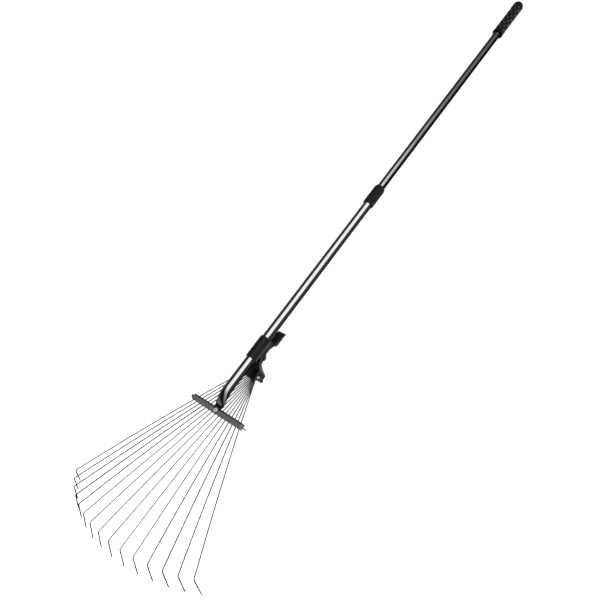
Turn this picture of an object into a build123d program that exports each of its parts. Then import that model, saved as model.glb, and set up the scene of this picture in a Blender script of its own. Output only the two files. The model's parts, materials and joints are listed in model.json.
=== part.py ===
from build123d import *
from math import acos, asin, atan2, cos, degrees, hypot, radians, sin, tan
import os

# Adjustable wire leaf rake lying on the floor, in millimetres.  X runs across the
# fan, Y along the handle towards the grip, Z up.  Inside the model a point is given
# as (x, a, h): a is the distance along the handle from the spreader bar, h the
# height above the handle's centre line.  The handle slopes gently down to the grip,
# because the rake lies on its tine hub and on the end of the grip.

# ---------------------------------------------------------------- driving sizes
# handle
lower_tube_diameter = 20.5
upper_tube_diameter = 18.0
lower_wall = 0.8
upper_wall = 0.8
mouth_position = 587.0       # open end of the lower tube
round_start = 50.0           # the lower tube is round from here on
grip_start = 1158.0
grip_end = 1283.0
tube_overlap = 95.0          # upper tube inside the lower one when drawn out
retract_travel = 425.0
bush_length = 22.0
bush_flange = 6.0
bush_wall = 2.5

# twist lock between the tubes
collar_before_mouth = 35.0   # reach of the collar down the lower tube
collar_past_mouth = 19.0
collar_diameter = 25.5
collar_flutes = 10
flute_depth = 1.1
flute_radius = 2.5
flute_inset = 11.0           # the flutes stop this far from both ends
collar_shoulder = 3.0
insert_flange = 3.0
insert_cone = 12.0
insert_plug = 16.0
insert_rim = 0.4             # the flange stands this far out from the lower tube
insert_nose = 0.9            # wall of the cone at its thin end
insert_slots = 4
insert_slot_width = 1.2
insert_clearance = 0.06
thread_clearance = 0.08
cone_space = 0.35

# grip
grip_diameter = 27.0
grip_waist = 0.8             # the dotted length is this much slimmer in radius
grip_lip = 5.0
grip_chamfer = 1.0
hang_hole_diameter = 5.0
hang_hole_inset = 6.5
grip_wall_at_end = 14.0      # solid rubber past the end of the upper tube

# spreader bar: an inverted channel folded from strip
bar_length = 139.0
bar_web = 12.5
bar_flange = 11.2
bar_sheet = 1.5
bar_fold = 1.2               # bevel along the two folds
bar_top = -11.6              # top of the web, from the handle's centre line
notch_top = 2.6              # material left above each notch
slot_height = -17.6          # wires cross the bar here
slot_spread = 64.4           # outermost wire, from the middle
slot_slack = 0.5

# retaining rod under the wires
rod_diameter = 2.4
rod_overhang = 5.5
rod_clearance = 0.15
rod_under_wires = 0.35
rod_turn_radius = 4.0
rod_turn = 55.0              # degrees
rod_turned_length = 4.5
rod_head_overhang = 7.5
rod_head_diameter = 6.4
rod_head_length = 2.2

# flattened end of the lower tube
tab_width = 20.0
tab_thickness = 2.2
tab_tip = -5.0
tab_shoulder = 14.0          # the flat tongue starts here
tab_slit = 0.8               # what is left of the tube's inside where it is pressed flat
press_start = 30.0           # halfway down the pressed length
press_drop = 2.6
press_bulge = 0.9
rivet_diameter = 4.8
rivet_head = 9.0
rivet_head_height = 2.0
rivet_tail_height = 1.3

# wires
tine_count = 15
wire_diameter = 2.2
wire_length = 398.0          # middle wire, from the hub to the bend
wire_taper = 12.0            # the outermost wires are this much shorter
wire_bow_radius = 4200.0     # the wires droop in a long arc
hook_length = 40.0
hook_lean = 21.5             # forward of square, in degrees
hook_bend_radius = 4.0
root_spread = 17.8           # outermost wire root, from the middle
root_position = 97.0
root_depth = -44.2           # middle wire's root
root_arch = 15.0             # outermost roots stand this much higher
leg_length = 3.3             # turned-up end of each wire
leg_bend_radius = 1.4

# tine carrier (saddle over the wire roots) and the hub under it
carrier_front = 93.6
carrier_rear = 113.0
carrier_gap = 2.2            # underside of the saddle above the wire roots
carrier_thickness = 5.0
carrier_past_roots = 1.12    # the saddle is this much wider than the row of roots
carrier_groove_ahead = 1.5   # groove in front of the wire roots
carrier_groove_room = 0.7
jaw_front = 97.6
jaw_gap = 1.35
hub_rear = 118.0
hub_bottom = -48.6
hub_half_width = 20.0
hub_shoulder = -23.0
hub_shoulder_end = 117.0
hub_neck_before_pin = 11.5
hub_bevel = 1.5
hub_tongue = 9.4
hub_side_clearance = 0.3
hub_lug_top = -30.0
hub_lug_thickness = 3.0
hub_ear_radius = 3.8
hub_ear_foot = 3.0           # the ears stop this far above the hub's flat bottom
hub_screw_spread = 21.5
hub_screw_position = 101.0
hub_screw_diameter = 3.0
hub_screw_head = 6.0
hub_screw_head_height = 1.8
hub_screw_depth = 7.0
screw_clearance = 0.1

# slider on the lower tube
slider_start = 120.0
slider_end = 172.5
slider_diameter = 25.2
slider_bevel = 1.2
slider_fit = 0.07
block_start = 132.0
block_half_width = 9.0
block_bottom = -20.5
hub_pivot_position = 140.0
hub_pivot_depth = -24.6
hub_pivot_diameter = 4.0
hub_ear_reach = 5.2
fork_clearance = 1.4
fork_roof = 2.8              # material over the fork, below the bore
slider_travel = 218.0
pin_clearance = 0.06
pin_head = 6.4
pin_head_height = 1.6
pin_tail = 0.6

# cam lever
lever_pivot_position = 162.0
lever_pin_diameter = 3.2
cam_width = 10.0
cam_side_clearance = 0.3
cam_room = 0.9
cam_radius = 7.6
cam_throw = 0.35
cam_lift = 0.15              # gap between the tube and the open cam
lever_gap = 2.0              # arm starts this far past the slider
lever_tip = 209.0
lever_depth = -31.0
lever_thickness = 4.0
lever_width = 18.0
lever_root_height = 8.0      # arm is this deep where it leaves the slider
lever_ribs = 4
lever_rib_width = 2.2
lever_rib_height = 0.7

# ---------------------------------------------------------------- resting pose
lower_radius = lower_tube_diameter / 2
upper_radius = upper_tube_diameter / 2
grip_radius = grip_diameter / 2
collar_start = mouth_position - collar_before_mouth
collar_end = mouth_position + collar_past_mouth
lever_pivot_depth = -(lower_radius + cam_lift + cam_radius + cam_throw)
grip_dome = grip_radius
grip_contact = grip_end - grip_dome
rest_span = grip_contact - hub_rear
slope = acos(grip_radius / hypot(rest_span, hub_bottom)) - atan2(rest_span, -hub_bottom)
along = Vector(0, cos(slope), -sin(slope))
upward = Vector(0, sin(slope), cos(slope))
sideways = Vector(1, 0, 0)
# Headings of the middle wire, up from the handle's line: at its root, before the bend
# and along the hook.  Its tip reaches furthest forward, the grip's dome furthest back.
slot_rise = slot_height - root_depth
root_heading = atan2(slot_rise, root_position) + asin(hypot(slot_rise, root_position) / (2 * wire_bow_radius))
bend_heading = root_heading - (wire_length - hook_bend_radius) / wire_bow_radius
hook_heading = bend_heading - radians(90 - hook_lean)
hook_straight = hook_length - hook_bend_radius
tip_forward = (
    wire_bow_radius * (sin(root_heading) - sin(bend_heading))
    + hook_bend_radius * (sin(bend_heading) - sin(hook_heading))
    + hook_straight * cos(hook_heading)
)
tip_rise = (
    wire_bow_radius * (cos(bend_heading) - cos(root_heading))
    + hook_bend_radius * (cos(hook_heading) - cos(bend_heading))
    + hook_straight * sin(hook_heading)
)
rest_height = -hub_bottom * cos(slope) + hub_rear * sin(slope)
foremost = (
    (root_position - tip_forward) * cos(slope)
    + (root_depth + tip_rise) * sin(slope)
    + wire_diameter / 2 * sin(hook_heading + slope)
)
rearmost = grip_contact * cos(slope) + grip_dome
rest_shift = -(foremost + rearmost) / 2


def place(x, a, h):
    """World point for x across, a along the handle, h above its centre line."""
    return sideways * x + along * a + upward * h + Vector(0, rest_shift, rest_height)


def across(a):
    """Plane square to the handle at a; its y axis is the handle's upward."""
    return Plane(origin=place(0, a, 0), x_dir=(-1, 0, 0), z_dir=along)


def beside(x=0.0):
    """Plane along the handle at x; its x axis is a, its y axis is h."""
    return Plane(origin=place(x, 0, 0), x_dir=along, z_dir=(1, 0, 0))


def above(h):
    """Plane over the handle at h; its x axis is a, its y axis is -x."""
    return Plane(origin=place(0, 0, h), x_dir=along, z_dir=upward)


handle_axis = Axis(place(0, 0, 0), along)
folder = "parts"
os.makedirs(folder, exist_ok=True)


def write(builder, name):
    builder.part.label = name
    export_step(builder.part, f"{folder}/{name}.step")


# ---------------------------------------------------------------- lower tube
tab_centre = bar_top + tab_thickness / 2
tab_half = tab_width / 2
bore_radius = lower_radius - lower_wall


def pressed_ellipse(wall):
    """Section halfway down the pressed length, drawn in by the wall."""
    with Locations((0, -press_drop)):
        Ellipse(lower_radius + press_bulge - wall, lower_radius - press_drop - wall)


with BuildPart() as lower_tube:
    with BuildSketch(across(round_start)):
        Circle(lower_radius)
    extrude(amount=mouth_position - round_start)
    # The end is pressed flat and set down onto the spreader bar.
    with BuildSketch(across(round_start)):
        Circle(lower_radius)
    with BuildSketch(across(press_start)):
        pressed_ellipse(0)
    with BuildSketch(across(tab_shoulder - 2)):
        with Locations((0, tab_centre)):
            Ellipse(tab_half + 2.5, tab_thickness / 2 + 0.2)
    loft()
    # The tongue narrows to a blunt tip at the front of the bar.
    with BuildSketch(above(bar_top)):
        with BuildLine():
            Polyline(
                (tab_shoulder, -tab_half - 1.5),
                (tab_tip + 7, -tab_half * 0.65),
                (tab_tip, -tab_half * 0.3),
                (tab_tip, tab_half * 0.3),
                (tab_tip + 7, tab_half * 0.65),
                (tab_shoulder, tab_half + 1.5),
                close=True,
            )
        make_face()
    extrude(amount=tab_thickness)
    with BuildSketch(across(round_start)):
        Circle(bore_radius)
    extrude(amount=mouth_position - round_start, mode=Mode.SUBTRACT)
    with BuildSketch(across(round_start)):
        Circle(bore_radius)
    with BuildSketch(across(press_start)):
        pressed_ellipse(lower_wall)
    with BuildSketch(across(tab_shoulder + 4)):
        with Locations((0, tab_centre + 1.2)):
            Ellipse(tab_half + 0.5, tab_slit / 2)
    loft(mode=Mode.SUBTRACT)
    with BuildSketch(above(bar_top)):
        Circle(rivet_diameter / 2)
    extrude(amount=tab_thickness, mode=Mode.SUBTRACT)
write(lower_tube, "lower_tube")

# ---------------------------------------------------------------- upper tube
upper_inner_end = mouth_position - tube_overlap
upper_outer_end = grip_end - grip_wall_at_end
with BuildPart() as upper_tube:
    with BuildSketch(across(upper_inner_end)):
        Circle(upper_radius)
        Circle(upper_radius - upper_wall, mode=Mode.SUBTRACT)
    extrude(amount=upper_outer_end - upper_inner_end)
write(upper_tube, "upper_tube")

# Plastic bush plugged into the inner end of the upper tube, sliding in the lower one.
with BuildPart() as guide_bush:
    with BuildSketch(across(upper_inner_end - bush_flange)):
        Circle(bore_radius - insert_clearance)
    extrude(amount=bush_flange)
    with BuildSketch(across(upper_inner_end)):
        Circle(upper_radius - upper_wall)
    extrude(amount=bush_length - bush_flange)
    with BuildSketch(across(upper_inner_end - bush_flange)):
        Circle(upper_radius - upper_wall - bush_wall)
    extrude(amount=bush_length, mode=Mode.SUBTRACT)
write(guide_bush, "guide_bush")

# ---------------------------------------------------------------- twist lock
# The split insert sits in the mouth of the lower tube and its cone grips the upper
# tube when the collar is screwed down over it.
flange_end = mouth_position + insert_flange
cone_end = flange_end + insert_cone
flange_radius = lower_radius + insert_rim
with BuildPart() as lock_insert:
    with BuildSketch(beside()):
        with BuildLine():
            Polyline(
                (mouth_position - insert_plug, upper_radius + insert_clearance),
                (cone_end, upper_radius + insert_clearance),
                (cone_end, upper_radius + insert_nose),
                (flange_end, flange_radius),
                (mouth_position, flange_radius),
                (mouth_position, bore_radius),
                (mouth_position - insert_plug, bore_radius),
                close=True,
            )
        make_face()
    revolve(axis=handle_axis)
    with BuildSketch(across(flange_end)):
        with PolarLocations(0, insert_slots):
            Rectangle(2 * lower_tube_diameter, insert_slot_width)
    extrude(amount=insert_cone, mode=Mode.SUBTRACT)
write(lock_insert, "lock_insert")

collar_radius = collar_diameter / 2
cone_room = cone_end + insert_clearance + 1
with BuildPart() as lock_collar:
    with BuildSketch(beside()):
        with BuildLine():
            Polyline(
                (collar_start, lower_radius + thread_clearance),
                (collar_start, collar_radius - 1.6),
                (collar_start + collar_shoulder / 3, collar_radius - 0.3),
                (collar_start + collar_shoulder, collar_radius),
                (collar_end - 2 * collar_shoulder, collar_radius),
                (collar_end - collar_shoulder / 3, collar_radius - 1.0),
                (collar_end, collar_radius - 2.2),
                (collar_end, upper_radius + cone_space),
                (cone_room, upper_radius + cone_space),
                (cone_room, upper_radius + insert_nose + cone_space),
                (flange_end + 1, flange_radius + cone_space),
                (mouth_position - 1, flange_radius + cone_space),
                (mouth_position - 1, lower_radius + thread_clearance),
                close=True,
            )
        make_face()
    revolve(axis=handle_axis)
    # Long flutes for the fingers, stopping short of both ends.
    with BuildSketch(across(collar_start + flute_inset)):
        with PolarLocations(collar_radius + flute_radius - flute_depth, collar_flutes):
            Circle(flute_radius)
    extrude(amount=collar_end - collar_start - 2 * flute_inset, mode=Mode.SUBTRACT)
write(lock_collar, "lock_collar")

# ---------------------------------------------------------------- grip
waist_radius = grip_radius - grip_waist
waist_start = grip_start + grip_lip
waist_end = grip_contact - grip_lip
hang_hole_position = grip_end - hang_hole_inset
with BuildPart() as grip:
    with BuildSketch(beside()):
        with BuildLine():
            Polyline(
                (grip_end, 0),
                (grip_start, 0),
                (grip_start, grip_radius - grip_chamfer),
                (grip_start + grip_chamfer, grip_radius),
                (waist_start, grip_radius),
                (waist_start + grip_chamfer, waist_radius),
                (waist_end - grip_chamfer, waist_radius),
                (waist_end, grip_radius),
                (grip_contact, grip_radius),
            )
            RadiusArc((grip_contact, grip_radius), (grip_end, 0), grip_dome)
        make_face()
    revolve(axis=handle_axis)
    with BuildSketch(across(grip_start)):
        Circle(upper_radius)
    extrude(amount=upper_outer_end - grip_start, mode=Mode.SUBTRACT)
    with BuildSketch(beside()):
        with Locations((hang_hole_position, 0)):
            Circle(hang_hole_diameter / 2)
    extrude(amount=grip_radius, both=True, mode=Mode.SUBTRACT)
write(grip, "grip")

# ---------------------------------------------------------------- wires
wire_radius = wire_diameter / 2
steps = tine_count // 2
pivot = place(0, hub_pivot_position, hub_pivot_depth)
hub_pivot_axis = Axis(pivot, (1, 0, 0))
slot_points = []
root_points = []
for number in range(tine_count):
    share = (number - steps) / steps
    root_points.append(place(root_spread * share, root_position, root_depth + root_arch * share**2))
    slot_points.append(place(slot_spread * share, 0, slot_height))


def turned(point, degrees_turned):
    """Point carried round the hub's pin; a positive turn sets the wires down."""
    return (point - pivot).rotate(hub_pivot_axis, degrees_turned) + pivot


def bow_start(number):
    """Angle between the wire at its root and the straight line to its slot."""
    reach = (slot_points[number] - root_points[number]).length
    return asin(reach / (2 * wire_bow_radius))


def wire_plane(number):
    """Plane of one wire: x towards its slot, y upwards, origin at its root."""
    towards_slot = (slot_points[number] - root_points[number]).normalized()
    square = towards_slot.cross(Vector(0, 0, 1)).normalized()
    return Plane(origin=root_points[number], x_dir=towards_slot, z_dir=square)


def point_on_wire(number, distance):
    """World point where the wire is `distance` from its root in a straight line."""
    below_start = asin(distance / (2 * wire_bow_radius))
    angle = bow_start(number) - below_start
    return wire_plane(number).from_local_coords(
        Vector(distance * cos(angle), distance * sin(angle), 0)
    )


def hub_turn():
    """Turn of the hub about its pin when the slider is at the end of its travel, so
    that the middle wire still passes through the bar."""
    angle = 0.0
    for _ in range(30):
        root = turned(root_points[steps], angle) + along * slider_travel
        aim = slot_points[steps] - root
        wire = point_on_wire(steps, aim.length) - root_points[steps]
        wire = wire.rotate(hub_pivot_axis, angle)
        wanted = atan2(aim.Z, -aim.Y)
        actual = atan2(wire.Z, -wire.Y)
        angle += degrees(actual - wanted)
    return angle


def wire_turn(number, turn):
    """Axis and angle that carry one wire from its place in the open fan to its place
    in the closed fan, seen from the hub."""
    root = turned(root_points[number], turn) + along * slider_travel
    aim = (slot_points[number] - root).rotate(hub_pivot_axis, -turn)
    wire = point_on_wire(number, aim.length) - root_points[number]
    square = wire.cross(aim)
    if square.length < 1e-3 * aim.length:
        return upward, 0.0
    angle = degrees(asin(square.length / (wire.length * aim.length)))
    square = square.normalized()
    if square.Z < 0:
        return -square, -angle
    return square, angle


def bent_wire(number, leg_axis):
    """Centre line of one wire: the turned-up leg, the long bow, the bend and the hook."""
    plane = wire_plane(number)
    start = bow_start(number)
    heading = plane.x_dir * cos(start) + plane.y_dir * sin(start)
    trim = leg_bend_radius * tan(acos(-leg_axis.dot(heading)) / 2)
    root = root_points[number]
    leg = Line(root + leg_axis * leg_length, root + leg_axis * trim)
    corner = TangentArc(leg @ 1, root + heading * trim, tangent=-leg_axis)
    bow_length = wire_length - wire_taper * ((number - steps) / steps)**2 - hook_bend_radius
    bow_chord = 2 * wire_bow_radius * sin(bow_length / (2 * wire_bow_radius))
    bow = TangentArc(corner @ 1, point_on_wire(number, bow_chord), tangent=heading)
    bend_start = start - bow_length / wire_bow_radius
    bend_end = bend_start - radians(90 - hook_lean)
    across_bend = plane.x_dir * (sin(bend_start) - sin(bend_end)) + plane.y_dir * (cos(bend_end) - cos(bend_start))
    bend = TangentArc(bow @ 1, (bow @ 1) + across_bend * hook_bend_radius, tangent=bow % 1)
    hook = Line(bend @ 1, (bend @ 1) + (bend % 1) * hook_straight)
    return Wire([leg.edge(), corner.edge(), bow.edge(), bend.edge(), hook.edge()])


closed_turn = hub_turn()
for number in range(tine_count):
    leg_axis, leg_turn = wire_turn(number, closed_turn)
    with BuildPart() as tine:
        centre_line = bent_wire(number, leg_axis)
        with BuildSketch(Plane(origin=centre_line @ 0, z_dir=centre_line % 0)):
            Circle(wire_radius)
        sweep(path=centre_line)
    write(tine, f"tine_{number + 1:02d}")
    print(f"tine {number + 1}: axis {tuple(round(v, 4) for v in leg_axis)} turn {leg_turn:.3f}")
print(f"hub turn {closed_turn:.3f}")

# ---------------------------------------------------------------- spreader bar
middle_angles = []
for number in range(tine_count):
    opened = slot_points[number] - root_points[number]
    closed = opened + along * -slider_travel
    middle_angles.append((tan(atan2(opened.X, -opened.Y)) + tan(atan2(closed.X, -closed.Y))) / 2)
flange_inside = bar_web / 2 - bar_sheet / 2
wire_slack = 2 * slot_slack
with BuildPart() as spreader_bar:
    with BuildSketch(beside()):
        with BuildLine():
            Polyline(
                (-bar_web / 2, bar_top - bar_flange),
                (-bar_web / 2, bar_top - bar_fold),
                (-bar_web / 2 + bar_fold, bar_top),
                (bar_web / 2 - bar_fold, bar_top),
                (bar_web / 2, bar_top - bar_fold),
                (bar_web / 2, bar_top - bar_flange),
                close=True,
            )
        make_face()
    extrude(amount=bar_length / 2, both=True)
    # Hollow underneath, with a folded plate left at each end.
    with BuildSketch(beside()):
        with Locations((0, bar_top - bar_sheet - bar_flange / 2)):
            Rectangle(bar_web - 2 * bar_sheet, bar_flange)
    extrude(amount=bar_length / 2 - bar_sheet, both=True, mode=Mode.SUBTRACT)
    # One notch for each wire in each flange, wide enough for the angles it takes.
    for side in (1, -1):
        with BuildSketch(across(side * flange_inside)):
            for number in range(tine_count):
                opened = slot_points[number] - root_points[number]
                closed = opened + along * -slider_travel
                swing = abs(opened.X / opened.Y - closed.X / closed.Y) * flange_inside
                notch = wire_diameter / cos(atan2(abs(opened.X), -opened.Y)) + swing + wire_slack
                centre = slot_points[number].X - side * middle_angles[number] * flange_inside
                with Locations((-centre, bar_top - bar_flange)):
                    Rectangle(notch, 2 * (bar_flange - notch_top))
        extrude(amount=bar_sheet, both=True, mode=Mode.SUBTRACT)
    rod_height = slot_height - wire_radius - rod_under_wires - rod_diameter / 2
    with BuildSketch(beside()):
        with Locations((0, rod_height)):
            Circle(rod_diameter / 2 + rod_clearance)
    extrude(amount=bar_length, both=True, mode=Mode.SUBTRACT)
    with BuildSketch(above(bar_top)):
        Circle(rivet_diameter / 2)
    extrude(amount=-bar_sheet, mode=Mode.SUBTRACT)
write(spreader_bar, "spreader_bar")

# The rod is headed at one end and turned down at the other.
with BuildPart() as retaining_rod:
    with BuildLine(Plane(origin=place(0, 0, rod_height), x_dir=(1, 0, 0), z_dir=along)) as rod_path:
        straight = Line(
            (-bar_length / 2 - rod_head_overhang, 0),
            (bar_length / 2 + rod_overhang - rod_turn_radius, 0),
        )
        turned_end = JernArc(straight @ 1, straight % 1, rod_turn_radius, rod_turn)
        Line(turned_end @ 1, turned_end @ 1 + (turned_end % 1) * rod_turned_length)
    with BuildSketch(Plane(origin=rod_path.line @ 0, z_dir=rod_path.line % 0)):
        Circle(rod_diameter / 2)
    sweep()
    with BuildSketch(Plane(origin=rod_path.line @ 0, z_dir=rod_path.line % 0)):
        Circle(rod_head_diameter / 2)
    extrude(amount=-rod_head_length)
write(retaining_rod, "retaining_rod")

with BuildPart() as tab_rivet:
    with BuildSketch(above(bar_top - bar_sheet)):
        Circle(rivet_diameter / 2)
    extrude(amount=bar_sheet + tab_thickness)
    with BuildSketch(above(bar_top + tab_thickness)):
        Circle(rivet_head / 2)
    extrude(amount=rivet_head_height)
    fillet(tab_rivet.edges().group_by(Axis((0, 0, 0), upward))[-1], rivet_head_height * 0.7)
    with BuildSketch(above(bar_top - bar_sheet)):
        Circle(rivet_head / 2 - 0.8)
    extrude(amount=-rivet_tail_height)
write(tab_rivet, "tab_rivet")

# ---------------------------------------------------------------- tine hub


def saddle(low, high, arch_low, arch_high):
    """Face between two parabolas, both through x = 0 at low and high and rising by
    arch at the outermost wire root."""
    edge = root_spread * carrier_past_roots
    low_edge = low + arch_low * carrier_past_roots**2
    high_edge = high + arch_high * carrier_past_roots**2
    with BuildLine() as outline:
        Bezier((-edge, low_edge), (0, 2 * low - low_edge), (edge, low_edge))
        Line((edge, low_edge), (edge, high_edge))
        Bezier((edge, high_edge), (0, 2 * high - high_edge), (-edge, high_edge))
        Line((-edge, high_edge), (-edge, low_edge))
    return outline.edges()


hub_neck_end = hub_pivot_position - hub_neck_before_pin
screw_places = [(hub_screw_position, hub_screw_spread), (hub_screw_position, -hub_screw_spread)]
lug_bottom = hub_lug_top - hub_lug_thickness
jaw_arch = root_arch * 0.76
over_arch = root_arch * 0.9
carrier_under = root_depth + carrier_gap
carrier_over = carrier_under + carrier_thickness
jaw_top = root_depth - jaw_gap
carrier_step = root_position + wire_radius + 1.0
with BuildPart() as tine_carrier:
    with BuildSketch(across(carrier_front)):
        make_face(saddle(carrier_under, carrier_over, root_arch, over_arch))
    extrude(amount=carrier_rear - carrier_front)
    with BuildSketch(across(carrier_step)):
        make_face(saddle(jaw_top, carrier_over, jaw_arch, over_arch))
    extrude(amount=carrier_rear - carrier_step)
    # Groove that the turned-up ends of the wires hook into.
    with BuildSketch(across(root_position - carrier_groove_ahead)):
        groove_top = root_depth + leg_length + carrier_groove_room
        make_face(saddle(carrier_under - 1, groove_top, root_arch, root_arch))
    extrude(amount=carrier_step - root_position + carrier_groove_ahead, mode=Mode.SUBTRACT)
    # Lugs for the screws that hold the saddle down on the hub.
    with BuildSketch(above(hub_lug_top)):
        with Locations(*screw_places):
            Circle(hub_ear_radius)
    extrude(amount=-hub_lug_thickness)
    with BuildSketch(above(hub_lug_top)):
        with Locations(*screw_places):
            Circle(hub_screw_diameter / 2 + screw_clearance)
    extrude(amount=-hub_lug_thickness, mode=Mode.SUBTRACT)
    with BuildSketch(above(hub_lug_top)):
        with Locations(*screw_places):
            Circle(hub_screw_head / 2 + screw_clearance)
    extrude(amount=-hub_lug_top, mode=Mode.SUBTRACT)
write(tine_carrier, "tine_carrier")

# Black moulded hub: a jaw under the wire roots, a neck, and a tongue on the pin.
with BuildPart() as tine_hub:
    with BuildSketch(beside()):
        with BuildLine():
            Polyline(
                (jaw_front, lug_bottom),
                (jaw_front, hub_bottom + hub_bevel),
                (jaw_front + hub_bevel, hub_bottom),
                (hub_rear, hub_bottom),
                (hub_neck_end, hub_pivot_depth - 9.0),
                (hub_pivot_position + 2.2, hub_pivot_depth - hub_ear_reach + 0.6),
                (hub_pivot_position, hub_pivot_depth),
                (hub_pivot_position, hub_pivot_depth + hub_ear_reach - 0.4),
                (hub_neck_end, hub_pivot_depth + 2.4),
                (hub_shoulder_end, hub_shoulder),
                (carrier_rear, hub_shoulder),
                (carrier_rear, lug_bottom),
                close=True,
            )
        make_face()
        with Locations((hub_pivot_position, hub_pivot_depth)):
            Circle(hub_ear_reach - 0.4)
    extrude(amount=hub_half_width, both=True)
    # Seen from above the jaw narrows to the tongue.
    with BuildSketch(above(0)):
        with BuildLine():
            Polyline(
                (jaw_front, -hub_half_width + hub_bevel),
                (jaw_front + 2 * hub_bevel, -hub_half_width),
                (carrier_rear + 1, -hub_half_width),
                (hub_neck_end - 5, -hub_tongue / 2 - 3.5),
                (hub_neck_end, -hub_tongue / 2),
                (hub_pivot_position + 8, -hub_tongue / 2),
                (hub_pivot_position + 8, hub_tongue / 2),
                (hub_neck_end, hub_tongue / 2),
                (hub_neck_end - 5, hub_tongue / 2 + 3.5),
                (carrier_rear + 1, hub_half_width),
                (jaw_front + 2 * hub_bevel, hub_half_width),
                (jaw_front, hub_half_width - hub_bevel),
                close=True,
            )
        make_face()
    extrude(amount=hub_bottom * 1.2, mode=Mode.INTERSECT)
    # Ears under the lugs.
    with BuildSketch(above(lug_bottom)):
        with Locations(*screw_places):
            Circle(hub_ear_radius)
    extrude(amount=hub_bottom + hub_ear_foot - lug_bottom)
    # Room for the saddle and for the wires below it.
    with BuildSketch(across(jaw_front - 1)):
        make_face(saddle(jaw_top, jaw_top + 40, jaw_arch, jaw_arch))
    extrude(amount=carrier_rear - jaw_front + 1, mode=Mode.SUBTRACT)
    with BuildSketch(above(lug_bottom)):
        with Locations(*screw_places):
            Circle(hub_screw_diameter / 2)
    extrude(amount=-hub_screw_depth, mode=Mode.SUBTRACT)
    with BuildSketch(beside()):
        with Locations((hub_pivot_position, hub_pivot_depth)):
            Circle(hub_pivot_diameter / 2 + pin_clearance)
    extrude(amount=hub_tongue, both=True, mode=Mode.SUBTRACT)
write(tine_hub, "tine_hub")

with BuildPart() as hub_screws:
    with BuildSketch(above(hub_lug_top)):
        with Locations(*screw_places):
            Circle(hub_screw_head / 2)
    extrude(amount=hub_screw_head_height)
    with BuildSketch(above(hub_lug_top)):
        with Locations(*screw_places):
            Circle(hub_screw_diameter / 2)
    extrude(amount=-hub_lug_thickness - hub_screw_depth + 0.5)
write(hub_screws, "hub_screws")

# ---------------------------------------------------------------- slider
slider_radius = slider_diameter / 2
ear_width = block_half_width - hub_tongue / 2 - hub_side_clearance
lever_slot = cam_width + 2 * cam_side_clearance
fork_end = hub_pivot_position + hub_ear_reach + fork_clearance
fork_top = -(lower_radius + slider_fit + fork_roof)
with BuildPart() as slider_body:
    with BuildSketch(beside()):
        with BuildLine():
            Polyline(
                (slider_start, 0),
                (slider_start, slider_radius - slider_bevel),
                (slider_start + slider_bevel, slider_radius),
                (slider_end - slider_bevel, slider_radius),
                (slider_end, slider_radius - slider_bevel),
                (slider_end, 0),
                close=True,
            )
        make_face()
    revolve(axis=handle_axis)
    with BuildSketch(beside()):
        with BuildLine():
            Polyline(
                (block_start, -4),
                (block_start, block_bottom + 4),
                (hub_pivot_position - hub_ear_reach, hub_pivot_depth),
                (hub_pivot_position + hub_ear_reach, hub_pivot_depth),
                (hub_pivot_position + hub_ear_reach + 4, block_bottom),
                (slider_end - 3, block_bottom),
                (slider_end - 1, block_bottom + 3),
                (slider_end - 1, -4),
                close=True,
            )
        make_face()
        with Locations((hub_pivot_position, hub_pivot_depth)):
            Circle(hub_ear_reach)
    extrude(amount=block_half_width, both=True)
    # Fork for the hub's tongue and slot for the cam.
    with BuildSketch(beside()):
        with BuildLine():
            Polyline(
                (block_start - 1, fork_top),
                (block_start - 1, 2 * block_bottom),
                (fork_end, 2 * block_bottom),
                (fork_end, fork_top - 2),
                (fork_end - 3, fork_top),
                close=True,
            )
        make_face()
    extrude(amount=hub_tongue / 2 + hub_side_clearance, both=True, mode=Mode.SUBTRACT)
    cam_slot_start = lever_pivot_position - cam_radius - cam_room
    with BuildSketch(beside()):
        with BuildLine():
            Polyline(
                (cam_slot_start, -2),
                (cam_slot_start, 2 * block_bottom),
                (slider_end + 1, 2 * block_bottom),
                (slider_end + 1, -2),
                close=True,
            )
        make_face()
    extrude(amount=lever_slot / 2, both=True, mode=Mode.SUBTRACT)
    # Bore over the tube, and the two cross holes.
    with BuildSketch(across(slider_start - 1)):
        Circle(lower_radius + slider_fit)
    extrude(amount=slider_end - slider_start + 2, mode=Mode.SUBTRACT)
    with BuildSketch(beside()):
        with Locations((hub_pivot_position, hub_pivot_depth)):
            Circle(hub_pivot_diameter / 2)
        with Locations((lever_pivot_position, lever_pivot_depth)):
            Circle(lever_pin_diameter / 2)
    extrude(amount=2 * block_half_width, both=True, mode=Mode.SUBTRACT)
write(slider_body, "slider_body")

with BuildPart() as hub_pivot_pin:
    with BuildSketch(beside(-block_half_width - pin_tail)):
        with Locations((hub_pivot_position, hub_pivot_depth)):
            Circle(hub_pivot_diameter / 2)
    extrude(amount=2 * block_half_width + pin_tail)
    with BuildSketch(beside(block_half_width)):
        with Locations((hub_pivot_position, hub_pivot_depth)):
            Circle(pin_head / 2)
    extrude(amount=pin_head_height)
write(hub_pivot_pin, "hub_pivot_pin")

with BuildPart() as lever_pin:
    with BuildSketch(beside(-block_half_width)):
        with Locations((lever_pivot_position, lever_pivot_depth)):
            Circle(lever_pin_diameter / 2)
    extrude(amount=2 * block_half_width)
write(lever_pin, "lever_pin")

# ---------------------------------------------------------------- cam lever
arm_start = slider_end + lever_gap
arm_root_top = lever_depth + lever_root_height
cam_bottom = lever_pivot_depth + cam_throw - cam_radius
arm_length = lever_tip - arm_start


def arm_top(raised):
    """Upper side of the paddle, hollow for the fingertip and turned down at its tip."""
    return Spline(
        (arm_start, arm_root_top + raised),
        (arm_start + 0.4 * arm_length, lever_depth + lever_thickness + 0.5 + raised),
        (arm_start + 0.8 * arm_length, lever_depth + lever_thickness - 1.5 + raised),
        (lever_tip, lever_depth + lever_thickness - 5 + raised),
    )


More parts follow.
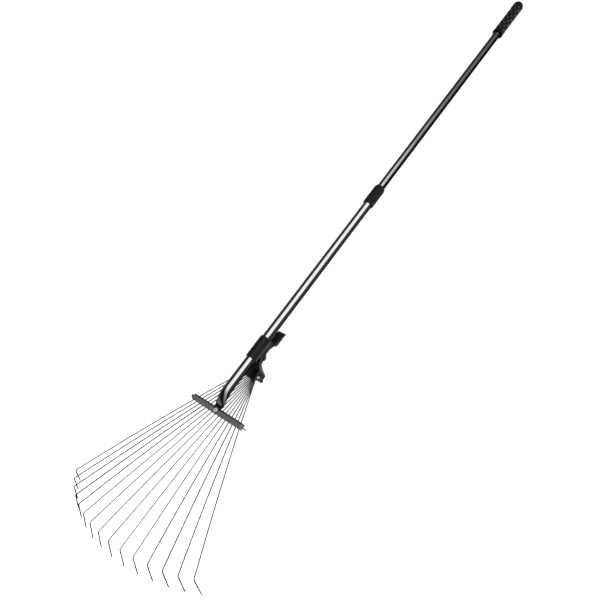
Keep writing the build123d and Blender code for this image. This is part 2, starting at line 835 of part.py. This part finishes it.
with BuildPart() as clamp_lever:
    with BuildSketch(beside()):
        with Locations((lever_pivot_position, lever_pivot_depth + cam_throw)):
            Circle(cam_radius)
        with BuildLine():
            Polyline(
                (lever_pivot_position, cam_bottom),
                (lever_pivot_position + cam_radius, lever_pivot_depth + cam_throw),
                (arm_start + 2, arm_root_top),
                (arm_start + 2, lever_depth - 0.5),
                (lever_pivot_position + 4, cam_bottom - 2),
                close=True,
            )
        make_face()
    extrude(amount=cam_width / 2, both=True)
    with BuildSketch(beside()):
        with BuildLine():
            upper_side = arm_top(0)
            Line(upper_side @ 1, (lever_tip - 1, lever_depth - 4))
            lower_side = Spline(
                (lever_tip - 1, lever_depth - 4),
                (arm_start + 0.75 * arm_length, lever_depth - 2.5),
                (arm_start + 0.3 * arm_length, lever_depth - 2.5),
                (arm_start, lever_depth),
            )
            Line(lower_side @ 1, upper_side @ 0)
        make_face()
    extrude(amount=lever_width / 2, both=True)
    # Ribs along the paddle for the fingertip.
    rib_pitch = (lever_width - lever_rib_width) / (lever_ribs - 1)
    for rib in range(lever_ribs):
        with BuildSketch(beside(rib * rib_pitch - lever_width / 2)):
            with BuildLine():
                rib_top = arm_top(lever_rib_height)
                rib_foot = arm_top(-lever_rib_height)
                Line(rib_top @ 0, rib_foot @ 0)
                Line(rib_top @ 1, rib_foot @ 1)
            make_face()
        extrude(amount=lever_rib_width)
    with BuildSketch(beside()):
        with Locations((lever_pivot_position, lever_pivot_depth)):
            Circle(lever_pin_diameter / 2 + pin_clearance)
    extrude(amount=lever_width, both=True, mode=Mode.SUBTRACT)
write(clamp_lever, "clamp_lever")
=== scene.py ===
import json
import bpy
import numpy as np
from mathutils import Matrix, Vector


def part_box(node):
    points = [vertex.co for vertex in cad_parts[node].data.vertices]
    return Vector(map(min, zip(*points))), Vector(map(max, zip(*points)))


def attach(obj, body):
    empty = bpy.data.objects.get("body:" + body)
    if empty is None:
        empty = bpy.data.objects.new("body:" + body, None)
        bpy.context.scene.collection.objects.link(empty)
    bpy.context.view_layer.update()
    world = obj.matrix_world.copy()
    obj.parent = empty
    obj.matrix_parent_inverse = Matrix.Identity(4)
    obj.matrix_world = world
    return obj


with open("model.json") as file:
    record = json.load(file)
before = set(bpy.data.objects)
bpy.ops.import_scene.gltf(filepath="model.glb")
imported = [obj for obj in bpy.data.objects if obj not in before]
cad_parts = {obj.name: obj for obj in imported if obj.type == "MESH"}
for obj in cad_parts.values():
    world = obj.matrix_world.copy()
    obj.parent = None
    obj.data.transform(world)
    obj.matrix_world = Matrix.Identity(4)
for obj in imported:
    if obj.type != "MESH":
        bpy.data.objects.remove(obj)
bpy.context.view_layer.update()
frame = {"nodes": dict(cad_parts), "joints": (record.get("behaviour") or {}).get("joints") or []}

# The handle's line comes from the collar's joint: a point on it and its direction towards the grip.
collarJoint = next(j for j in frame["joints"] if j["name"] == "collar_twist")
collarPlace = 0.552  # distance of that point from the spreader bar, along the handle
alongHandle = np.array(collarJoint["axis"], float)
aboveHandle = np.array([0.0, -alongHandle[2], alongHandle[1]])
handleStart = np.array(collarJoint["pos_m"], float) - alongHandle * collarPlace
print("frame loaded:", len(frame["nodes"]), "nodes")


def onHandle(x, a, h):
    # Row-frame points for x across, a along the handle from the spreader bar, h above its centre line:
    # the start, plus each distance times its own direction.
    x, a, h = (part[..., None] for part in np.broadcast_arrays(np.asarray(x, float), a, h))
    return handleStart + x * np.array([1.0, 0, 0]) + a * alongHandle + h * aboveHandle


cameraSettings = {
    "position": (0.7510, -0.5654, 0.9944),
    "right": (0.7412, 0.5628, -0.3659),
    "down": (0.3214, -0.7760, -0.5427),
    "lens": 36.50, "sensor": 36.0,  # millimetres
}


def buildCamera(settings):
    data = bpy.data.cameras.new("viewCamera")
    data.sensor_width = settings["sensor"]
    data.lens = settings["lens"]
    camera = bpy.data.objects.new("viewCamera", data)
    right = Vector(settings["right"]).normalized()
    up = -Vector(settings["down"])
    up = (up - right * up.dot(right)).normalized()
    back = right.cross(up)
    turn = Matrix((right, up, back)).transposed().to_4x4()
    camera.matrix_world = Matrix.Translation(settings["position"]) @ turn
    bpy.context.scene.collection.objects.link(camera)
    bpy.context.scene.camera = camera


buildCamera(cameraSettings)
print("camera placed")

lightSettings = {
    # centre, point it faces, width, length along the handle, radiance
    "mainSoftbox": ((1.28, 0.00, 2.26), (0.0, 0.00, 0.0), 3.7, 4.3, 2.5),
    "tineSoftbox": ((1.28, -3.30, 2.26), (0.0, -3.30, 0.0), 3.0, 2.0, 1.3),
    "gripSoftbox": ((1.28, 2.45, 2.26), (0.0, 2.45, 0.0), 3.4, 0.6, 0.9),
    "endSoftbox": ((1.28, 3.35, 2.26), (0.0, 3.35, 0.0), 3.2, 1.2, 0.42),
}
worldSettings = {"low": 1.0, "high": 0.06, "lowUntil": 0.16, "highFrom": 0.34}
floorSettings = {"size": 30.0, "colour": (0.80, 0.80, 0.80, 1), "seenGlow": 0.72, "farGlow": 1.0,
                 "glowFrom": 1.6, "glowTo": 4.5}  # metres from the middle


def buildSoftbox(name, centre, target, width, length, radiance):
    # A rectangular lamp with its length along y, as the handle. Its power is radiance x area x pi.
    data = bpy.data.lights.new(name, "AREA")
    data.shape = "RECTANGLE"
    data.size = width
    data.size_y = length
    data.energy = radiance * np.pi * width * length
    lamp = bpy.data.objects.new(name, data)
    back = (Vector(centre) - Vector(target)).normalized()
    side = Vector((0, 1, 0)).cross(back).normalized()
    turn = Matrix((side, back.cross(side), back)).transposed().to_4x4()
    lamp.matrix_world = Matrix.Translation(centre) @ turn
    bpy.context.scene.collection.objects.link(lamp)


def addNode(tree, kind, values=None, **settings):
    # values go into the node's input sockets, settings are its own properties.
    node = tree.nodes.new(kind)
    for name, value in settings.items():
        setattr(node, name, value)
    for socket, value in (values or {}).items():
        node.inputs[socket].default_value = value
    return node


def buildWorld(settings):
    # White near the horizon and dark overhead, the same for every ray.
    world = bpy.data.worlds.new("studioWorld")
    world.use_nodes = True
    bpy.context.scene.world = world
    tree = world.node_tree
    coordinates = addNode(tree, "ShaderNodeTexCoord")
    parts = addNode(tree, "ShaderNodeSeparateXYZ")
    fade = addNode(tree, "ShaderNodeMapRange", {
        "From Min": settings["lowUntil"], "From Max": settings["highFrom"],
        "To Min": settings["low"], "To Max": settings["high"]}, interpolation_type="SMOOTHSTEP")
    tree.links.new(coordinates.outputs["Generated"], parts.inputs[0])
    tree.links.new(parts.outputs["Z"], fade.inputs["Value"])
    tree.links.new(fade.outputs["Result"], tree.nodes["Background"].inputs["Color"])


def buildFloor(settings):
    # A square at height 0 with a diffuse paint. To camera, glossy and transmission rays it also glows,
    # by seenGlow near the middle and farGlow far from it, which leaves only a faint shadow.
    half = settings["size"] / 2
    mesh = bpy.data.meshes.new("studioFloor")
    corners = [(-half, -half, 0), (half, -half, 0), (half, half, 0), (-half, half, 0)]
    mesh.from_pydata(corners, [], [(0, 1, 2, 3)])
    floor = bpy.data.objects.new("studioFloor", mesh)
    bpy.context.scene.collection.objects.link(floor)
    material = bpy.data.materials.new("paleFloor")
    material.use_nodes = True
    tree = material.node_tree
    tree.nodes.clear()
    paint = addNode(tree, "ShaderNodeBsdfDiffuse", {"Color": settings["colour"]})
    glow = addNode(tree, "ShaderNodeEmission")
    path = addNode(tree, "ShaderNodeLightPath")
    seen = addNode(tree, "ShaderNodeMath", operation="MAXIMUM")
    seenOrThrough = addNode(tree, "ShaderNodeMath", operation="MAXIMUM")
    strength = addNode(tree, "ShaderNodeMath", operation="MULTIPLY")
    place = addNode(tree, "ShaderNodeTexCoord")
    distance = addNode(tree, "ShaderNodeVectorMath", operation="LENGTH")
    glowHere = addNode(tree, "ShaderNodeMapRange", {
        "From Min": settings["glowFrom"], "From Max": settings["glowTo"],
        "To Min": settings["seenGlow"], "To Max": settings["farGlow"]}, interpolation_type="SMOOTHSTEP")
    tree.links.new(place.outputs["Object"], distance.inputs[0])
    tree.links.new(distance.outputs["Value"], glowHere.inputs["Value"])
    tree.links.new(glowHere.outputs["Result"], strength.inputs[1])
    both = addNode(tree, "ShaderNodeAddShader")
    output = addNode(tree, "ShaderNodeOutputMaterial")
    tree.links.new(path.outputs["Is Camera Ray"], seen.inputs[0])
    tree.links.new(path.outputs["Is Glossy Ray"], seen.inputs[1])
    tree.links.new(seen.outputs[0], seenOrThrough.inputs[0])
    tree.links.new(path.outputs["Is Transmission Ray"], seenOrThrough.inputs[1])
    tree.links.new(seenOrThrough.outputs[0], strength.inputs[0])
    tree.links.new(strength.outputs[0], glow.inputs["Strength"])
    tree.links.new(paint.outputs[0], both.inputs[0])
    tree.links.new(glow.outputs[0], both.inputs[1])
    tree.links.new(both.outputs[0], output.inputs["Surface"])
    mesh.materials.append(material)


for lampName, lampValues in lightSettings.items():
    buildSoftbox(lampName, *lampValues)
buildWorld(worldSettings)
buildFloor(floorSettings)
bpy.context.scene.view_settings.view_transform = "Standard"
print("light, world and floor built")


def newGroup(name, inputs, outputs):
    # A shader group with named inputs and outputs, and the two nodes that stand for them inside it.
    group = bpy.data.node_groups.new(name, "ShaderNodeTree")
    for socket, (kind, value) in inputs.items():
        item = group.interface.new_socket(name=socket, in_out="INPUT", socket_type=kind)
        item.default_value = value
    for socket, kind in outputs.items():
        group.interface.new_socket(name=socket, in_out="OUTPUT", socket_type=kind)
    return group, addNode(group, "NodeGroupInput"), addNode(group, "NodeGroupOutput")


floatSocket, colourSocket, vectorSocket = "NodeSocketFloat", "NodeSocketColor", "NodeSocketVector"
drawnMetalSettings = {
    "patchShare": 0.45,  # of the patches against the lines
    "noiseFrom": 0.34, "noiseTo": 0.66,  # noise that gives the Dark tone and the Light one
    # the side band is painted shade, a dark reflection painted into the colour
    "bandEnds": -0.38, "bandFull": -0.15,  # upward part of the normal, below which the side band fades out
}


def buildDrawnMetal(settings):
    # Fine drawing lines along the handle, and wider cloudy patches. Both move colour and roughness,
    # and the lines also stand up a little. The side tone multiplies the colour where the surface faces
    # sideways: painted shade, a dark reflection of the surroundings painted into the colour. The fade tone
    # does so from one place along y to another: painted shade on the tube's end and the bar's rear edge,
    # painted light near the wires' roots.
    group, given, result = newGroup("drawnMetal", {
        "Line Width": (floatSocket, 0.0008), "Line Length": (floatSocket, 0.05),
        "Patch Size": (floatSocket, 0.03),
        "Dark": (colourSocket, (0.2, 0.2, 0.2, 1)), "Light": (colourSocket, (0.4, 0.4, 0.4, 1)),
        "Smooth": (floatSocket, 0.15), "Rough": (floatSocket, 0.3), "Line Depth": (floatSocket, 0.00001),
        "Painted Side Shade": (floatSocket, 1.0), "Side From": (floatSocket, 0.5), "Side To": (floatSocket, 0.3),
        "Painted Fade Tone": (floatSocket, 1.0), "Fade From": (floatSocket, 0.0), "Fade To": (floatSocket, 1.0),
    }, {"Color": colourSocket, "Roughness": floatSocket, "Normal": vectorSocket})
    coordinates = addNode(group, "ShaderNodeTexCoord")
    cell = addNode(group, "ShaderNodeCombineXYZ")
    linePlace = addNode(group, "ShaderNodeVectorMath", operation="DIVIDE")
    lines = addNode(group, "ShaderNodeTexNoise", {"Scale": 1.0, "Detail": 3.0, "Roughness": 0.6})
    patchPlace = addNode(group, "ShaderNodeVectorMath", operation="DIVIDE")
    patches = addNode(group, "ShaderNodeTexNoise", {"Scale": 1.0, "Detail": 4.0, "Roughness": 0.65})
    both = addNode(group, "ShaderNodeMix", {"Factor": settings["patchShare"]}, data_type="FLOAT")
    spread = addNode(group, "ShaderNodeMapRange", {
        "From Min": settings["noiseFrom"], "From Max": settings["noiseTo"]})
    colour = addNode(group, "ShaderNodeMix", data_type="RGBA")
    rough = addNode(group, "ShaderNodeMapRange")
    bump = addNode(group, "ShaderNodeBump", {"Strength": 1.0})
    geometry = addNode(group, "ShaderNodeNewGeometry")
    facing = addNode(group, "ShaderNodeSeparateXYZ")
    notUp = addNode(group, "ShaderNodeMapRange", interpolation_type="SMOOTHSTEP")
    notDown = addNode(group, "ShaderNodeMapRange", {
        "From Min": settings["bandEnds"], "From Max": settings["bandFull"]}, interpolation_type="SMOOTHSTEP")
    # painted shade: the colour is darkened where the surface faces sideways, standing for dark surroundings
    # reflected in the metal
    sideways = addNode(group, "ShaderNodeMath", operation="MULTIPLY")
    paintedSideShade = addNode(group, "ShaderNodeMapRange", {"To Min": 1.0})
    banded = addNode(group, "ShaderNodeVectorMath", operation="SCALE")
    along = addNode(group, "ShaderNodeSeparateXYZ")
    # painted shade and painted light along y: the colour is scaled from one place along y to another
    fade = addNode(group, "ShaderNodeMapRange", {"To Min": 1.0}, interpolation_type="SMOOTHSTEP")
    faded = addNode(group, "ShaderNodeVectorMath", operation="SCALE")
    links = group.links
    links.new(geometry.outputs["Normal"], facing.inputs[0])
    links.new(facing.outputs["Z"], notUp.inputs["Value"])
    links.new(given.outputs["Side From"], notUp.inputs["From Min"])
    links.new(given.outputs["Side To"], notUp.inputs["From Max"])
    links.new(facing.outputs["Z"], notDown.inputs["Value"])
    links.new(notUp.outputs["Result"], sideways.inputs[0])
    links.new(notDown.outputs["Result"], sideways.inputs[1])
    links.new(sideways.outputs[0], paintedSideShade.inputs["Value"])
    links.new(given.outputs["Painted Side Shade"], paintedSideShade.inputs["To Max"])
    links.new(colour.outputs["Result"], banded.inputs[0])
    links.new(paintedSideShade.outputs["Result"], banded.inputs["Scale"])
    links.new(coordinates.outputs["Object"], along.inputs[0])
    links.new(along.outputs["Y"], fade.inputs["Value"])
    links.new(given.outputs["Fade From"], fade.inputs["From Min"])
    links.new(given.outputs["Fade To"], fade.inputs["From Max"])
    links.new(given.outputs["Painted Fade Tone"], fade.inputs["To Max"])
    links.new(banded.outputs[0], faded.inputs[0])
    links.new(fade.outputs["Result"], faded.inputs["Scale"])
    links.new(given.outputs["Line Width"], cell.inputs["X"])
    links.new(given.outputs["Line Length"], cell.inputs["Y"])
    links.new(given.outputs["Line Width"], cell.inputs["Z"])
    links.new(coordinates.outputs["Object"], linePlace.inputs[0])
    links.new(cell.outputs[0], linePlace.inputs[1])
    links.new(linePlace.outputs[0], lines.inputs["Vector"])
    links.new(coordinates.outputs["Object"], patchPlace.inputs[0])
    links.new(given.outputs["Patch Size"], patchPlace.inputs[1])
    links.new(patchPlace.outputs[0], patches.inputs["Vector"])
    links.new(lines.outputs["Fac"], both.inputs["A"])
    links.new(patches.outputs["Fac"], both.inputs["B"])
    links.new(both.outputs["Result"], spread.inputs["Value"])
    links.new(spread.outputs["Result"], colour.inputs["Factor"])
    links.new(given.outputs["Dark"], colour.inputs["A"])
    links.new(given.outputs["Light"], colour.inputs["B"])
    links.new(spread.outputs["Result"], rough.inputs["Value"])
    links.new(given.outputs["Smooth"], rough.inputs["To Min"])
    links.new(given.outputs["Rough"], rough.inputs["To Max"])
    links.new(lines.outputs["Fac"], bump.inputs["Height"])
    links.new(given.outputs["Line Depth"], bump.inputs["Distance"])
    links.new(faded.outputs[0], result.inputs["Color"])
    links.new(rough.outputs["Result"], result.inputs["Roughness"])
    links.new(bump.outputs["Normal"], result.inputs["Normal"])
    return group


mouldedSkinSettings = {
    "patchesPerMetre": 70.0,
    "edgeStarts": 0.985, "edgeFull": 0.80,  # likeness of the rounded normal to the true one
    "dustStarts": 0.2, "dustFull": 1.0,  # upward part of the normal
    "noiseFrom": 0.35, "noiseTo": 0.65,  # noise that gives Smooth and Rough
}


def buildMouldedSkin(settings):
    # Pebbled moulding grain, rubbed edges found by comparing the rounded normal with the true one,
    # and a little dust where the surface faces up.
    group, given, result = newGroup("mouldedSkin", {
        "Grain Size": (floatSocket, 0.0006), "Grain Depth": (floatSocket, 0.00003),
        "Edge Round": (floatSocket, 0.0006),
        "Colour": (colourSocket, (0.02, 0.02, 0.02, 1)), "Rubbed": (colourSocket, (0.06, 0.06, 0.06, 1)),
        "Dust": (colourSocket, (0.12, 0.12, 0.115, 1)), "Dust Amount": (floatSocket, 0.15),
        "Smooth": (floatSocket, 0.3), "Rough": (floatSocket, 0.5),
    }, {"Color": colourSocket, "Roughness": floatSocket, "Normal": vectorSocket})
    coordinates = addNode(group, "ShaderNodeTexCoord")
    geometry = addNode(group, "ShaderNodeNewGeometry")
    grainPlace = addNode(group, "ShaderNodeVectorMath", operation="DIVIDE")
    grain = addNode(group, "ShaderNodeTexNoise", {"Scale": 1.0, "Detail": 2.0, "Roughness": 0.5})
    patches = addNode(group, "ShaderNodeTexNoise", {
        "Scale": settings["patchesPerMetre"], "Detail": 4.0, "Roughness": 0.6})
    rounded = addNode(group, "ShaderNodeBevel", samples=4)
    same = addNode(group, "ShaderNodeVectorMath", operation="DOT_PRODUCT")
    edge = addNode(group, "ShaderNodeMapRange", {
        "From Min": settings["edgeStarts"], "From Max": settings["edgeFull"]})
    edgeBreak = addNode(group, "ShaderNodeMath", operation="MULTIPLY")
    rubbed = addNode(group, "ShaderNodeMix", data_type="RGBA")
    facing = addNode(group, "ShaderNodeSeparateXYZ")
    upward = addNode(group, "ShaderNodeMapRange", {
        "From Min": settings["dustStarts"], "From Max": settings["dustFull"]})
    dustBreak = addNode(group, "ShaderNodeMath", operation="MULTIPLY")
    dustMask = addNode(group, "ShaderNodeMath", operation="MULTIPLY")
    dusted = addNode(group, "ShaderNodeMix", data_type="RGBA")
    rough = addNode(group, "ShaderNodeMapRange", {
        "From Min": settings["noiseFrom"], "From Max": settings["noiseTo"]})
    bump = addNode(group, "ShaderNodeBump", {"Strength": 1.0})
    links = group.links
    links.new(coordinates.outputs["Object"], grainPlace.inputs[0])
    links.new(given.outputs["Grain Size"], grainPlace.inputs[1])
    links.new(grainPlace.outputs[0], grain.inputs["Vector"])
    links.new(coordinates.outputs["Object"], patches.inputs["Vector"])
    links.new(given.outputs["Edge Round"], rounded.inputs["Radius"])
    links.new(rounded.outputs["Normal"], same.inputs[0])
    links.new(geometry.outputs["Normal"], same.inputs[1])
    links.new(same.outputs["Value"], edge.inputs["Value"])
    links.new(edge.outputs["Result"], edgeBreak.inputs[0])
    links.new(patches.outputs["Fac"], edgeBreak.inputs[1])
    links.new(edgeBreak.outputs[0], rubbed.inputs["Factor"])
    links.new(given.outputs["Colour"], rubbed.inputs["A"])
    links.new(given.outputs["Rubbed"], rubbed.inputs["B"])
    links.new(geometry.outputs["Normal"], facing.inputs[0])
    links.new(facing.outputs["Z"], upward.inputs["Value"])
    links.new(upward.outputs["Result"], dustBreak.inputs[0])
    links.new(patches.outputs["Fac"], dustBreak.inputs[1])
    links.new(dustBreak.outputs[0], dustMask.inputs[0])
    links.new(given.outputs["Dust Amount"], dustMask.inputs[1])
    links.new(dustMask.outputs[0], dusted.inputs["Factor"])
    links.new(rubbed.outputs["Result"], dusted.inputs["A"])
    links.new(given.outputs["Dust"], dusted.inputs["B"])
    links.new(patches.outputs["Fac"], rough.inputs["Value"])
    links.new(given.outputs["Smooth"], rough.inputs["To Min"])
    links.new(given.outputs["Rough"], rough.inputs["To Max"])
    links.new(rounded.outputs["Normal"], bump.inputs["Normal"])
    links.new(grain.outputs["Fac"], bump.inputs["Height"])
    links.new(given.outputs["Grain Depth"], bump.inputs["Distance"])
    links.new(dusted.outputs["Result"], result.inputs["Color"])
    links.new(rough.outputs["Result"], result.inputs["Roughness"])
    links.new(bump.outputs["Normal"], result.inputs["Normal"])
    return group


drawnMetal = buildDrawnMetal(drawnMetalSettings)
mouldedSkin = buildMouldedSkin(mouldedSkinSettings)

# Places along y that the fades are measured from: the bar's rear edge and the wires' root end.
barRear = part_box("spreader_bar")[1].y
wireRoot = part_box("tine_08")[1].y
# The side settings of tubes and wires paint a dark band where the surface faces sideways: painted shade
# standing for the dark surroundings that chrome reflects.
tubeLines = {"Line Length": 0.12, "Patch Size": 0.05, "Side From": 0.68, "Side To": 0.48}
wireLines = {"Line Width": 0.0012, "Line Length": 0.05, "Patch Size": 0.05, "Line Depth": 0.000004,
             "Painted Side Shade": 0.12, "Side From": 0.95, "Side To": 0.60}
lightWireSkin = {"Smooth": 0.25, "Rough": 0.34}
darkWireSkin = {"Smooth": 0.36, "Rough": 0.46}
# painted light: the wires' fades brighten each wire towards its root end
nearRoot = {"Fade From": wireRoot - 0.07, "Fade To": wireRoot - 0.03}
metalSettings = {
    "lowerTubeChrome": {
        **tubeLines, "Line Width": 0.0007, "Dark": 0.30, "Light": 0.38, "Smooth": 0.08, "Rough": 0.15,
        "Line Depth": 0.000003, "Painted Side Shade": 0.06,
        # painted shade: the fade darkens the tube's flattened end next to the spreader bar
        "Painted Fade Tone": 0.34, "Fade From": barRear + 0.042, "Fade To": barRear + 0.028},
    "upperTubeChrome": {
        **tubeLines, "Line Width": 0.0006, "Dark": 0.20, "Light": 0.28, "Smooth": 0.12, "Rough": 0.20,
        "Line Depth": 0.000005, "Painted Side Shade": 0.03},
    # Lit and shaded copies of one wire steel: the wires differ in tone only as painted light and painted
    # shade across the fan.
    "wirePaintedLit": {
        **wireLines, **lightWireSkin, "Dark": 0.22, "Light": 0.30, "Side From": 0.92, "Side To": 0.50,
        "Painted Fade Tone": 1.25, "Fade From": wireRoot - 0.11, "Fade To": wireRoot - 0.05},
    "wirePaintedHalfShade": {**wireLines, **lightWireSkin, **nearRoot, "Dark": 0.09, "Light": 0.14, "Painted Fade Tone": 3.0},
    "wirePaintedShade": {**wireLines, **darkWireSkin, **nearRoot, "Dark": 0.02, "Light": 0.04, "Painted Fade Tone": 4.0},
    "wirePaintedShadeRight": {
        **wireLines, **darkWireSkin, "Dark": 0.05, "Light": 0.08,
        "Painted Fade Tone": 3.0, "Fade From": wireRoot - 0.04, "Fade To": wireRoot - 0.02},
    "barSteel": {
        "Line Width": 0.02, "Line Length": 0.0008, "Patch Size": 0.010, "Dark": 0.10, "Light": 0.17,
        "Smooth": 0.38, "Rough": 0.55, "Line Depth": 0.00001,
        # painted shadow: the fade darkens a thin line along the bar's rear edge
        "Painted Fade Tone": 0.12, "Fade From": barRear - 0.0036, "Fade To": barRear - 0.0020},
    "rivetMetal": {
        "Line Width": 0.0006, "Line Length": 0.0006, "Patch Size": 0.003, "Dark": 0.40, "Light": 0.60,
        "Smooth": 0.2, "Rough": 0.35, "Line Depth": 0.00001},
    "pinSteel": {
        "Line Width": 0.004, "Line Length": 0.0005, "Patch Size": 0.004, "Dark": 0.05, "Light": 0.10,
        "Smooth": 0.2, "Rough": 0.35, "Line Depth": 0.000006},
}
metalTint = (1.0, 1.005, 1.015)

skinSettings = {
    "sliderPlastic": {"Colour": 0.004, "Rubbed": 0.018, "Dust Amount": 0.06, "Smooth": 0.22, "Rough": 0.34},
    "leverPlastic": {"Colour": 0.004, "Rubbed": 0.018, "Dust Amount": 0.06, "Smooth": 0.20, "Rough": 0.32},
    "hubPlastic": {"Colour": 0.004, "Rubbed": 0.014, "Dust Amount": 0.06, "Smooth": 0.34, "Rough": 0.50},
    "collarPlastic": {"Colour": 0.004, "Rubbed": 0.018, "Dust Amount": 0.05, "Smooth": 0.36, "Rough": 0.50},
    "innerPlastic": {"Colour": 0.030, "Rubbed": 0.060, "Dust Amount": 0.05, "Smooth": 0.40, "Rough": 0.55},
    "gripRubber": {"Colour": 0.004, "Rubbed": 0.010, "Dust Amount": 0.05, "Smooth": 0.42, "Rough": 0.62,
                   "Grain Size": 0.0004, "Grain Depth": 0.00005},
    "nubRubber": {"Colour": 0.020, "Rubbed": 0.060, "Dust Amount": 0.15, "Smooth": 0.28, "Rough": 0.40,
                  "Grain Size": 0.0004, "Grain Depth": 0.00002},
}
# Constants on the shader itself: the first two are for every metal and plastic, the rest are changes.
metalShader = {"Metallic": 1.0, "Specular Tint": (0.25, 0.25, 0.25, 1)}  # a dark tint darkens the far edges
plasticShader = {"Metallic": 0.0, "Specular IOR Level": 0.09}
shaderChanges = {
    "barSteel": {"Metallic": 0.35},
    "rivetMetal": {"Metallic": 0.3, "Specular Tint": (1, 1, 1, 1)},
    "wirePaintedShade": {"Specular Tint": (0.05, 0.05, 0.05, 1)},
    "wirePaintedShadeRight": {"Specular Tint": (0.05, 0.05, 0.05, 1)},
    "gripRubber": {"Specular IOR Level": 0.04},
    "nubRubber": {"Specular IOR Level": 0.45},
}
tonedSockets = ("Dark", "Light", "Colour", "Rubbed", "Dust")  # greys, written as one number


def buildMaterial(name, group, settings, shaderSettings, tint=(1, 1, 1)):
    material = bpy.data.materials.new(name)
    material.use_nodes = True
    tree = material.node_tree
    shader = tree.nodes["Principled BSDF"]
    for socket, value in {**shaderSettings, **shaderChanges.get(name, {})}.items():
        shader.inputs[socket].default_value = value
    effect = addNode(tree, "ShaderNodeGroup", node_tree=group)
    for socket, value in settings.items():
        if socket in tonedSockets:
            value = (value * tint[0], value * tint[1], value * tint[2], 1)
        effect.inputs[socket].default_value = value
    tree.links.new(effect.outputs["Color"], shader.inputs["Base Color"])
    tree.links.new(effect.outputs["Roughness"], shader.inputs["Roughness"])
    tree.links.new(effect.outputs["Normal"], shader.inputs["Normal"])
    return material


materials = {}
for name, values in metalSettings.items():
    materials[name] = buildMaterial(name, drawnMetal, values, metalShader, metalTint)
for name, values in skinSettings.items():
    materials[name] = buildMaterial(name, mouldedSkin, values, plasticShader)

nodeMaterials = {
    "lower_tube": "lowerTubeChrome", "upper_tube": "upperTubeChrome", "guide_bush": "innerPlastic",
    "lock_insert": "innerPlastic", "lock_collar": "collarPlastic", "grip": "gripRubber",
    "spreader_bar": "barSteel", "retaining_rod": "pinSteel", "tab_rivet": "rivetMetal",
    "tine_carrier": "hubPlastic", "tine_hub": "hubPlastic", "hub_screws": "rivetMetal",
    "slider_body": "sliderPlastic", "hub_pivot_pin": "pinSteel", "lever_pin": "pinSteel",
    "clamp_lever": "leverPlastic",
}
# Each wire gets one of the lit and shaded copies of the wire steel: painted light in the middle of the fan,
# painted shade at its edges.
wireShades = ["wirePaintedShade"] * 4 + ["wirePaintedHalfShade"] + ["wirePaintedLit"] * 6 + ["wirePaintedHalfShade"]  # from tine 1
wireShades += ["wirePaintedShadeRight"] * 3
nodeMaterials.update({f"tine_{i + 1:02d}": shade for i, shade in enumerate(wireShades)})
for nodeName, node in frame["nodes"].items():
    chosen = materials[nodeMaterials[nodeName]]
    node.data.materials.clear()
    node.data.materials.append(chosen)
print("materials assigned")


def newPiece(name, vertices, faceBlocks, material, body):
    # A smooth mesh of the given points. Each block is an array of faces with one number of corners.
    mesh = bpy.data.meshes.new(name)
    faces = [face for block in faceBlocks for face in block.tolist()]
    mesh.from_pydata(vertices.reshape(-1, 3).tolist(), [], faces)
    mesh.update()
    piece = bpy.data.objects.new(name, mesh)
    bpy.context.scene.collection.objects.link(piece)
    mesh.materials.append(materials[material])
    mesh.polygons.foreach_set("use_smooth", np.full(len(mesh.polygons), True))
    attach(piece, body)
    return piece


gripNubSettings = {
    "firstRing": 1.170, "lastRing": 1.258, "rings": 10,  # along the handle
    "around": 7, "firstTurn": 0.35, "sides": 12,
    "skinRadius": 0.0127, "radius": 0.0023, "height": 0.0008, "sunk": 0.0008,
    "steps": ((1.0, 0.25), (0.85, 0.6), (0.5, 0.92)),  # share of the radius, share of the height
}


def buildGripNubs(settings):
    # Rubber nubs: each is a dome turned about its own outward line, height falling with the square
    # of the distance from its middle. Every second ring is turned half a step.
    rings, around, sides = settings["rings"], settings["around"], settings["sides"]
    ring, step = (part.ravel() for part in np.meshgrid(np.arange(rings), np.arange(around), indexing="ij"))
    angle = 2 * np.pi * (step + 0.5 * (ring % 2)) / around + settings["firstTurn"]
    a = np.linspace(settings["firstRing"], settings["lastRing"], rings)[ring]

    # One nub: rings of points from the sunk foot up to the last step, then the top and the foot's middle.
    turn = np.linspace(0, 2 * np.pi, sides, endpoint=False)
    share = np.array([1.0] + [width for width, rise in settings["steps"]])
    rise = np.array([-settings["sunk"]] + [rise * settings["height"] for width, rise in settings["steps"]])
    u = np.append(settings["radius"] * share[:, None] * np.cos(turn), [0, 0])
    v = np.append(settings["radius"] * share[:, None] * np.sin(turn), [0, 0])
    lift = np.append(np.repeat(rise, sides), [settings["height"], -settings["sunk"]])

    far = settings["skinRadius"] + lift[None, :]
    side = angle[:, None]
    x = far * np.sin(side) + u[None, :] * np.cos(side)
    h = far * np.cos(side) - u[None, :] * np.sin(side)
    vertices = onHandle(x, a[:, None] + v[None, :], h)

    levels, perNub = len(share), len(lift)
    k = np.arange(sides)
    n = (k + 1) % sides
    low = sides * np.arange(levels - 1)[:, None]
    quads = np.stack([low + k, low + n, low + sides + n, low + sides + k], 2).reshape(-1, 4)
    topRing = (levels - 1) * sides
    top = np.stack([topRing + k, topRing + n, np.full(sides, perNub - 2)], 1)
    foot = np.stack([n, k, np.full(sides, perNub - 1)], 1)
    start = perNub * np.arange(len(angle))[:, None, None]
    faceBlocks = [(start + block).reshape(-1, block.shape[1]) for block in (quads, top, foot)]
    return newPiece("gripNubs", vertices, faceBlocks, "nubRubber", "extension")


buildGripNubs(gripNubSettings)
print("pieces built")
